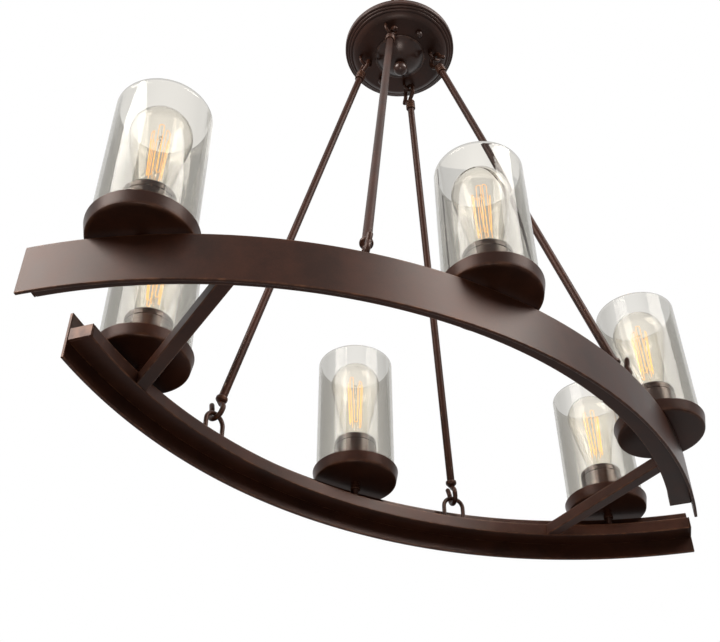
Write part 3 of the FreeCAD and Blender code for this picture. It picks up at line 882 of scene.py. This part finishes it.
class CHANDELIER_OT_hub(bpy.types.Operator):
    """Build the hub's pan, cover, dome, finial, nuts and eyes"""
    bl_idname = "chandelier.hub"
    bl_label = "Hub"
    bl_options = {"REGISTER", "UNDO"}

    def execute(self, context):
        hub_pan()
        hub_dome()
        hub_balls()
        h = sizes_of("hangers")
        eyes = Shape()
        for corner in CORNERS:
            pivot = upper_pivot(corner)
            foot = Vector((pivot.x, pivot.y, HUB_Z))
            path = staple_points(foot, h.eye_spacing, HUB_Z - pivot.z, X_AXIS, -UP)
            eyes.wire(path, h.eye_wire / 2, ends=False, wear=WIRE_WEAR)
        eyes.piece("hub_eye_wires", "dark_bronze", "hub", "hub_eyes")
        return {"FINISHED"}


def ceiling_canopy():
    """Dished cover that is open to the ceiling."""
    radius, depth = node_radius("ceiling_canopy"), -levels("ceiling_canopy")[0]
    hole, flat, brim, wall, steps = 0.0053, 0.009, 0.004, 0.0012, 24
    outer = [(hole, -depth), (flat, -depth)]
    for turn in spread(pi / 2, steps, 1):
        outer.append((flat + (radius - flat) * sin(turn), -brim - (depth - brim) * cos(turn)))
    outer.append((radius, 0))
    inner = [(max(r - wall, hole), min(z + wall, 0.0)) for r, z in outer]
    inner[-1] = (radius - wall, 0)
    wear = [0.0] * (2 * len(outer))
    wear[len(outer) - 1] = 0.5
    canopy = Shape().lathe(outer + inner[::-1], Vector(), FINE, wear)
    canopy.piece("ceiling_canopy_spun", "dark_bronze", "ceiling_mount", "ceiling_canopy", smooth=40)


def cast_loop(node, body, ring_end, side, across):
    """Cast ring on a beaded collar; side is 1 where the ring is below its collar."""
    wire, radius, height, steps = 0.0025, 0.0115, 0.014, 72
    plate, shank, bead, bead_top, bead_height, bead_steps = 0.009, 0.007, 0.002, 0.0032, 0.0034, 8
    centre = on_axis(ring_end + side * (wire + radius))
    path = [centre + (across * cos(t) + UP * sin(t)) * radius for t in spread(2 * pi, steps)[:-1]]
    plate_edge, plate_foot, waist, waist_level, tip = 0.001, 0.0022, 0.0052, 0.0098, 0.003
    outline = [(0, 0), (plate, 0), (plate, -plate_edge), (shank, -plate_foot), (shank, -bead_top)]
    for t in spread(1, bead_steps, 1):
        outline.append((shank + bead * sin(pi * t), -bead_top - bead_height * t))
    outline += [(waist, -waist_level), (tip, -height), (0, -height)]
    turn = None if side > 0 else Matrix.Rotation(pi, 3, "X")
    shape = Shape().wire(path, wire, closed=True, wear=WIRE_WEAR)
    shape.lathe(outline, on_axis(centre.z + side * (radius + height)), segments=48, turn=turn)
    shape.piece(node + "_cast", "dark_bronze", body, node, smooth=45)


def chain_link(node):
    """Oval link of round wire."""
    low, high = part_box(node)
    width, depth, steps = high[0] - low[0], high[1] - low[1], 32
    wide = X_AXIS if width > depth else Y_AXIS
    wire = min(width, depth) / 2
    bow = max(width, depth) / 2 - wire
    path = []
    for level, base in ((high[2] - wire - bow, 0.0), (low[2] + wire + bow, pi)):
        for turn in spread(pi, steps):
            path.append(wide * (bow * cos(base + turn)) + UP * (level + bow * sin(base + turn)))
    link = Shape().wire(path, wire, closed=True, wear=WIRE_WEAR)
    link.piece(node + "_wire", "dark_bronze", node, node, smooth=45)


class CHANDELIER_OT_chain(bpy.types.Operator):
    """Build the canopy, the cast loops and the chain, and give the strap its steel finish"""
    bl_idname = "chandelier.chain"
    bl_label = "Canopy and chain"
    bl_options = {"REGISTER", "UNDO"}

    def execute(self, context):
        ceiling_canopy()
        cast_loop("canopy_loop", "ceiling_mount", levels("canopy_loop")[0], 1, X_AXIS)
        cast_loop("hub_loop", "hub", levels("hub_loop")[1], -1, Y_AXIS)
        for number in (1, 2, 3, 4):
            chain_link("chain_link_%d" % number)
        for slot in frame["nodes"]["ceiling_strap"].material_slots:
            slot.material = finish_named("steel")
        return {"FINISHED"}


def lamp_cup(lamp, place):
    """Shallow flared cup with a rounded foot and a thin rim."""
    s = sizes_of("lamps")
    (low, high), edge = levels("cup_" + lamp), 0.0015
    points = [(STEM_HOLE, low), (s.cup_bottom, low), (s.cup_rim, high), (s.cup_rim - s.cup_wall, high),
              (s.cup_bottom - s.cup_wall, low + s.cup_floor), (STEM_HOLE, low + s.cup_floor)]
    profile, rub = rounded(points, edge)
    cup = Shape().lathe(profile, place, FINE, [0.5 * r for r in rub])
    cup.piece("cup_%s_spun" % lamp, "dark_bronze", "oval", "cup_" + lamp)


def stem_profile():
    """Profile of the threaded stem between the tube and the cup."""
    low, high = levels("lamp_nipples")
    bore, radius, pitch, groove = 0.002, 0.0032, 0.0012, 0.0003
    root = radius - groove
    profile = [(bore, low)]
    for k in range(int((high - low) / pitch)):
        z = low + pitch * k
        profile += [(root, z), (radius, z + pitch * 0.4), (radius, z + pitch * 0.6)]
    return profile + [(root, high), (bore, high)]


def ferrule_profile():
    """Profile of the collared ferrule under the cup."""
    low, high = levels("lamp_ferrules")
    collar, collar_height, neck, edge = 0.0055, 0.0045, 0.0045, 0.0005
    step = low + collar_height
    return rounded([(STEM_HOLE, low), (collar, low), (collar, step), (neck, step), (neck, high),
                    (STEM_HOLE, high)], edge)


def sleeve_profile():
    """Profile of a socket's drawn cover, with a groove and an inturned lip."""
    s = sizes_of("lamps")
    low, high = levels("socket_sleeves")
    outer, wall, lip = s.sleeve_radius, s.sleeve_wall, 0.003
    drop, deep, width, slope, inset, below, above = 0.0095, 0.0006, 0.0009, 0.0006, 0.0002, 0.003, 0.001
    groove = high - drop
    profile = [(outer - wall, low), (outer, low), (outer, groove - below), (outer, groove - slope),
               (outer - deep, groove), (outer - deep, groove + width), (outer, groove + width + slope),
               (outer, high - lip - above)]

    def bend(radius, lower, steps):
        return [(outer - lip + radius * cos(t), high - lip + radius * sin(t) - lower)
                for t in spread(pi / 2, steps)]

    return profile + bend(lip, 0, 8) + [(outer - lip, high - wall)] + bend(lip - wall, inset, 6)[::-1]


def socket_profile():
    """Profile of the lamp holder with its bore."""
    low, high = levels("sockets")
    radius, play, edge, seat_height, root_height = 0.0175, 0.0004, 0.0008, 0.0242, 0.008
    bore = sizes_of("lamps").cap_radius + play
    seat, root = low + seat_height, low + root_height
    points = [(STEM_HOLE, low), (radius, low), (radius, high), (bore, high), (bore, seat), (0, seat),
              (0, root), (STEM_HOLE, root)]
    return rounded(points, edge, keep=(0, 5, 6, 7))[0]


class CHANDELIER_OT_lamp_holders(bpy.types.Operator):
    """Build the cups, stems, ferrules, sleeves and sockets"""
    bl_idname = "chandelier.lamp_holders"
    bl_label = "Lamp holders"
    bl_options = {"REGISTER", "UNDO"}

    def execute(self, context):
        stems, ferrules, sleeves, sockets = Shape(), Shape(), Shape(), Shape()
        for lamp in LAMPS:
            place = node_foot("cup_" + lamp)
            lamp_cup(lamp, place)
            stems.lathe(stem_profile(), place, segments=24)
            profile, rub = ferrule_profile()
            ferrules.lathe(profile, place, SMALL, [0.5 * r for r in rub])
            sleeves.lathe(sleeve_profile(), place)
            sockets.lathe(socket_profile(), place, segments=64)
        stems.piece("lamp_stems", "dark_bronze", "oval", "lamp_nipples")
        ferrules.piece("lamp_ferrules_turned", "dark_bronze", "oval", "lamp_ferrules")
        sleeves.piece("socket_sleeves_drawn", "gloss_bronze", "oval", "socket_sleeves")
        sockets.piece("lamp_sockets", "lamp_holder", "oval", "sockets")
        return {"FINISHED"}


class CHANDELIER_OT_shades(bpy.types.Operator):
    """Build the glass cylinders"""
    bl_idname = "chandelier.shades"
    bl_label = "Glass cylinders"
    bl_options = {"REGISTER", "UNDO"}

    def execute(self, context):
        s = sizes_of("lamps")
        inner, outer, edge = s.shade_radius - s.shade_wall, s.shade_radius, 0.0012
        for lamp in LAMPS:
            node = "shade_" + lamp
            low, high = levels(node)
            profile, _ = rounded_box(inner, outer, low, high, edge, steps=6)
            shade = Shape().lathe(profile, node_foot(node), segments=160)
            shade.piece(node + "_glass", "shade_glass", node, node, smooth=60)
        return {"FINISHED"}


def bulb_outline(inset, neck, top):
    """Wall of the bulb from its neck to its top."""
    s = sizes_of("lamps")
    radius, throat, mouth, rise = s.bulb_radius, s.throat, 0.0126, 0.0077
    neck_steps, side_steps, top_steps = 6, 24, 40
    centre = top - radius
    height = centre - neck - rise
    taper = atan2(height, throat) - acos(radius / hypot(throat, height))
    size = radius - inset
    points = []
    for t in spread(1, neck_steps):
        points.append((mouth + (throat - mouth) * t * t - inset, neck + rise * t))
    foot = Vector(points[-1])
    shoulder = Vector((size * cos(taper), centre - size * sin(taper)))
    points += [tuple(foot.lerp(shoulder, t)) for t in spread(1, side_steps, 1)[:-1]]
    for turn in spread(pi / 2 + taper, top_steps)[:-1]:
        points.append((size * cos(turn - taper), centre + size * sin(turn - taper)))
    return points + [(0.0, centre + size)]


def bulb_envelope(lamp, place, body):
    """Thin drop-shaped glass."""
    node = "bulb_glass_" + lamp
    low, high = levels(node)
    outer, inner = (bulb_outline(inset, low, high) for inset in (0, sizes_of("lamps").bulb_wall))
    glass = Shape().lathe(outer + inner[::-1], place)
    glass.piece(node + "_envelope", "bulb_glass", body, node, smooth=60)


def bulb_cap(lamp, place, body):
    """Brass cap with a rolled thread over its contact."""
    s = sizes_of("lamps")
    radius, turns, foot = s.cap_radius, s.thread_turns, levels("bulb_base_" + lamp)[0]
    insulator, height, groove, edge, collar = 0.0046, 0.0220, 0.0009, 0.0004, 0.002
    low, high = foot + insulator, foot + insulator + height
    thread_share, steps_per_turn = 0.82, 12
    thread, steps = height * thread_share, steps_per_turn * turns
    tip, contact, contact_edge, contact_top, bottom = 0.0040, 0.0045, 0.0006, 0.002, 0.0105
    profile = [(0, foot), (tip, foot), (contact, foot + contact_edge), (contact, foot + contact_top),
               (bottom, low)]
    for t in spread(1, steps):
        dip = groove * (0.5 - 0.5 * cos(2 * pi * turns * t))
        profile.append((radius - dip, low + thread * t + edge))
    profile += [(radius, high - collar), (radius - edge, high), (0, high)]
    cap = Shape().lathe(profile, place, segments=72)
    cap.piece("bulb_cap_" + lamp, "bulb_brass", body, "bulb_base_" + lamp, smooth=50)


def bulb_inside(lamp, place, body, number):
    """Glass stem with a cage of hairpin filament strands on its supports."""
    neck, _ = levels("bulb_glass_" + lamp)
    flare = [(0, 0), (0.0085, 0), (0.0065, 0.004), (0.0034, 0.011), (0.0026, 0.018), (0.0020, 0.026)]
    bead = [(0.0018, 0.034), (0.0026, 0.036), (0.0026, 0.038), (0.0012, 0.040)]
    button = [(0.0010, 0.082), (0.0019, 0.0835), (0.0019, 0.085), (0, 0.086)]
    stem = Shape().lathe([(r, neck + z) for r, z in flare + bead + button], place, segments=32)
    stem.piece("bulb_stem_" + lamp, "bulb_glass", body, smooth=60)
    cage_foot, cage_top, top_drop, bottom_rise = 0.0275, 0.0905, 0.006, 0.008
    low, high = neck + cage_foot, neck + cage_top
    feet, heads = strand_ends(place, low, high, number)
    filament_wire(feet, heads).piece("bulb_filament_" + lamp, "filament", body, smooth=80)
    supports = Shape()
    wire, share, arch = 0.00012, 0.6, UP * 0.001
    hubs = (place + UP * (high - top_drop), place + UP * (low + bottom_rise))
    for k, (_, _, crown) in enumerate(strand_bends(feet, heads)):
        hub = hubs[k % 2]
        supports.wire([hub, hub.lerp(crown, share) + arch, crown], wire, sides=6)
    supports.piece("bulb_supports_" + lamp, "steel", body, smooth=80)


def strand_ends(place, low, high, number):
    """Feet and heads of the strands, which lean and end unevenly."""
    count = 2 * sizes_of("lamps").strands
    foot_radius, head_radius, sweep, twist = 0.0068, 0.0090, 2 * pi * 0.88, 0.37
    leaning, uneven, sagging = 0.0016, 0.0045, 0.003
    feet, heads = [], []
    for k in range(count):
        angle = twist * number + sweep * k / (count - 1)
        around = Vector((cos(angle), sin(angle), 0))
        lean = Vector((-around.y, around.x, 0)) * (leaning * sin(2.3 * (k // 2) + 1.7 * number))
        rise = uneven * (sin(1.9 * (k // 2) + number) - 1)
        sag = sagging * (sin(2.7 * ((k + 1) // 2) + number) + 1)
        feet.append(place + around * foot_radius + UP * (low + sag))
        heads.append(place + around * head_radius + lean + UP * (high + rise))
    return feet, heads


def strand_bends(feet, heads):
    """End of a strand, start of the next one and crown of the bend between them."""
    for k in range(len(feet) - 1):
        ends, way = (heads, UP) if k % 2 == 0 else (feet, -UP)
        first, last = ends[k], ends[k + 1]
        yield first, last, (first + last) / 2 + way * ((last - first).length / 2)


def filament_wire(feet, heads):
    """One wire up and down all strands, with a round bend at each end."""
    wire, strand_steps, bend_steps, cool = 0.00024, 12, 8, 0.35
    line, heat = [], []
    bends = list(strand_bends(feet, heads))
    for k, (foot, head) in enumerate(zip(feet, heads)):
        start, end = (foot, head) if k % 2 == 0 else (head, foot)
        for share in spread(1, strand_steps):
            line.append(start.lerp(end, share))
            heat.append(cool + (1 - cool) * sin(pi * share))
        if k < len(bends):
            first, last, crown = bends[k]
            middle = (first + last) / 2
            for turn in spread(pi, bend_steps, 1)[:-1]:
                line.append(middle + (first - middle) * cos(turn) + (crown - middle) * sin(turn))
                heat.append(cool)
    return Shape().wire(line, wire, sides=8, heat=heat)


class CHANDELIER_OT_bulbs(bpy.types.Operator):
    """Build the bulbs with their caps, stems and filaments"""
    bl_idname = "chandelier.bulbs"
    bl_label = "Bulbs"
    bl_options = {"REGISTER", "UNDO"}

    def execute(self, context):
        for number, lamp in enumerate(LAMPS):
            place, body = node_foot("bulb_glass_" + lamp), "bulb_" + lamp
            bulb_envelope(lamp, place, body)
            bulb_cap(lamp, place, body)
            bulb_inside(lamp, place, body, number)
        return {"FINISHED"}


def stage_world(scene):
    """White to the camera and in glass and gloss, plain soft light for the rest."""
    studio = Finish("studio", bpy.data.worlds, "OutputWorld")
    soft = studio.node("Background", {}, {"Color": (1.0, 0.98, 0.95, 1), "Strength": 0.10})
    white = studio.node("Background", {}, {"Color": (1, 1, 1, 1), "Strength": 1.0})
    scene.world = studio.mixed(studio.seen(), soft, white)


def stage_floor():
    """Plain pale floor far below."""
    reach, level = 80.0, cad_box[0][2] - 3.4
    mesh = bpy.data.meshes.new("floor")
    corners = [(x * reach, y * reach, level) for x, y in ((-1, -1), (1, -1), (1, 1), (-1, 1))]
    mesh.from_pydata(corners, [], [(0, 1, 2, 3)])
    finish = Finish("pale_floor")
    tone = finish.ramp(finish.noise(3, detail=3.0), (0.3, (0.86, 0.86, 0.86)), (0.7, (0.90, 0.90, 0.90)))
    paint = {"Base Color": tone, "Roughness": 0.9}
    lit = finish.node("BsdfPrincipled", {}, paint, output="BSDF")
    pale = finish.node("Emission", {}, {"Color": tone, "Strength": 0.9}, output="Emission")
    mesh.materials.append(finish.mixed(finish.seen() * 0.85, lit, pale))
    floor = bpy.data.objects.new("floor", mesh)
    bpy.context.scene.collection.objects.link(floor)


def stage_lights():
    """Two large soft panels above at the left and the right, and weak ones in front and overhead."""
    aim = on_axis(RAIL_Z + 0.2)
    panels = (
        ("left_panel", (-2.0, -0.2, 0.5), 1.3, 82.0),
        ("right_panel", (0.75, -1.8, 0.7), 1.3, 78.0),
        ("front_panel", (-0.85, -1.1, -1.95), 0.6, 10.0),
        ("top_panel", (0.3, 0.5, 1.6), 2.0, 4.0),
    )
    for name, place, size, power in panels:
        light = bpy.data.lights.new(name, "AREA")
        light.energy = power
        light.color = (1.0, 0.96, 0.90)
        light.size = size
        obj = bpy.data.objects.new(name, light)
        obj.location = place
        obj.rotation_euler = (aim - obj.location).to_track_quat("-Z", "Y").to_euler()
        bpy.context.scene.collection.objects.link(obj)


def stage_camera(scene):
    """Camera at the photograph's angle: below the near left end, looking up and across."""
    width, height = 720, 642
    place = Vector((-0.495643, -0.642021, -0.572445 + RAIL_Z))
    focal, centre_x, centre_y = 999.242, 395.254, 370.796
    pitch, yaw, roll = radians(38.414), radians(36.253), radians(-1.824)
    forward = Vector((sin(yaw) * cos(pitch), cos(yaw) * cos(pitch), sin(pitch)))
    level = Vector((cos(yaw), -sin(yaw), 0))
    rise = level.cross(forward)
    right = level * cos(roll) + rise * sin(roll)
    top = rise * cos(roll) - level * sin(roll)
    data = bpy.data.cameras.new("camera")
    data.sensor_width = 36
    data.sensor_fit = "HORIZONTAL"
    data.lens = focal * data.sensor_width / width
    data.shift_x = (width / 2 - centre_x) / width
    data.shift_y = (centre_y - height / 2) / width
    data.clip_start, data.clip_end = 0.01, 100
    camera = bpy.data.objects.new("camera", data)
    turn = Matrix((right, top, -forward)).transposed()
    camera.matrix_world = Matrix.Translation(place) @ turn.to_4x4()
    scene.collection.objects.link(camera)
    scene.camera = camera


class CHANDELIER_OT_stage(bpy.types.Operator):
    """Set up the floor, the light and the camera"""
    bl_idname = "chandelier.stage"
    bl_label = "Stage"
    bl_options = {"REGISTER", "UNDO"}

    def execute(self, context):
        scene = context.scene
        stage_world(scene)
        stage_floor()
        stage_lights()
        stage_camera(scene)
        scene.view_settings.view_transform = "Standard"
        return {"FINISHED"}


PIECES = (CHANDELIER_OT_rails, CHANDELIER_OT_rods, CHANDELIER_OT_hub, CHANDELIER_OT_chain,
          CHANDELIER_OT_lamp_holders, CHANDELIER_OT_shades, CHANDELIER_OT_bulbs, CHANDELIER_OT_stage)
GROUPS = {"rails": RailSizes, "hangers": HangerSizes, "hub": HubSizes, "lamps": LampSizes,
          "finishes": Finishes}


class CHANDELIER_PT_panel(bpy.types.Panel):
    """Lists the chandelier's pieces, sizes and finishes"""
    bl_idname = "CHANDELIER_PT_panel"
    bl_label = "Chandelier"
    bl_space_type = "VIEW_3D"
    bl_region_type = "UI"
    bl_category = "Chandelier"

    def draw(self, context):
        for operator in PIECES:
            self.layout.operator(operator.bl_idname)
        for group, kind in GROUPS.items():
            box = self.layout.box()
            for key in kind.__annotations__:
                box.prop(sizes_of(group), key)


def register():
    """Register the classes and the groups of sizes."""
    for kind in (*GROUPS.values(), *PIECES, CHANDELIER_PT_panel):
        bpy.utils.register_class(kind)
    for group, kind in GROUPS.items():
        setattr(bpy.types.Scene, "chandelier_" + group, PointerProperty(type=kind))


def unregister():
    """Take the classes and the groups of sizes away again."""
    for group in GROUPS:
        delattr(bpy.types.Scene, "chandelier_" + group)
    for kind in (CHANDELIER_PT_panel, *reversed(PIECES), *GROUPS.values()):
        bpy.utils.unregister_class(kind)


def main():
    """Build every piece."""
    register()
    for operator in PIECES:
        group, name = operator.bl_idname.split(".")
        getattr(getattr(bpy.ops, group), name)()


if __name__ == "__main__":
    main()
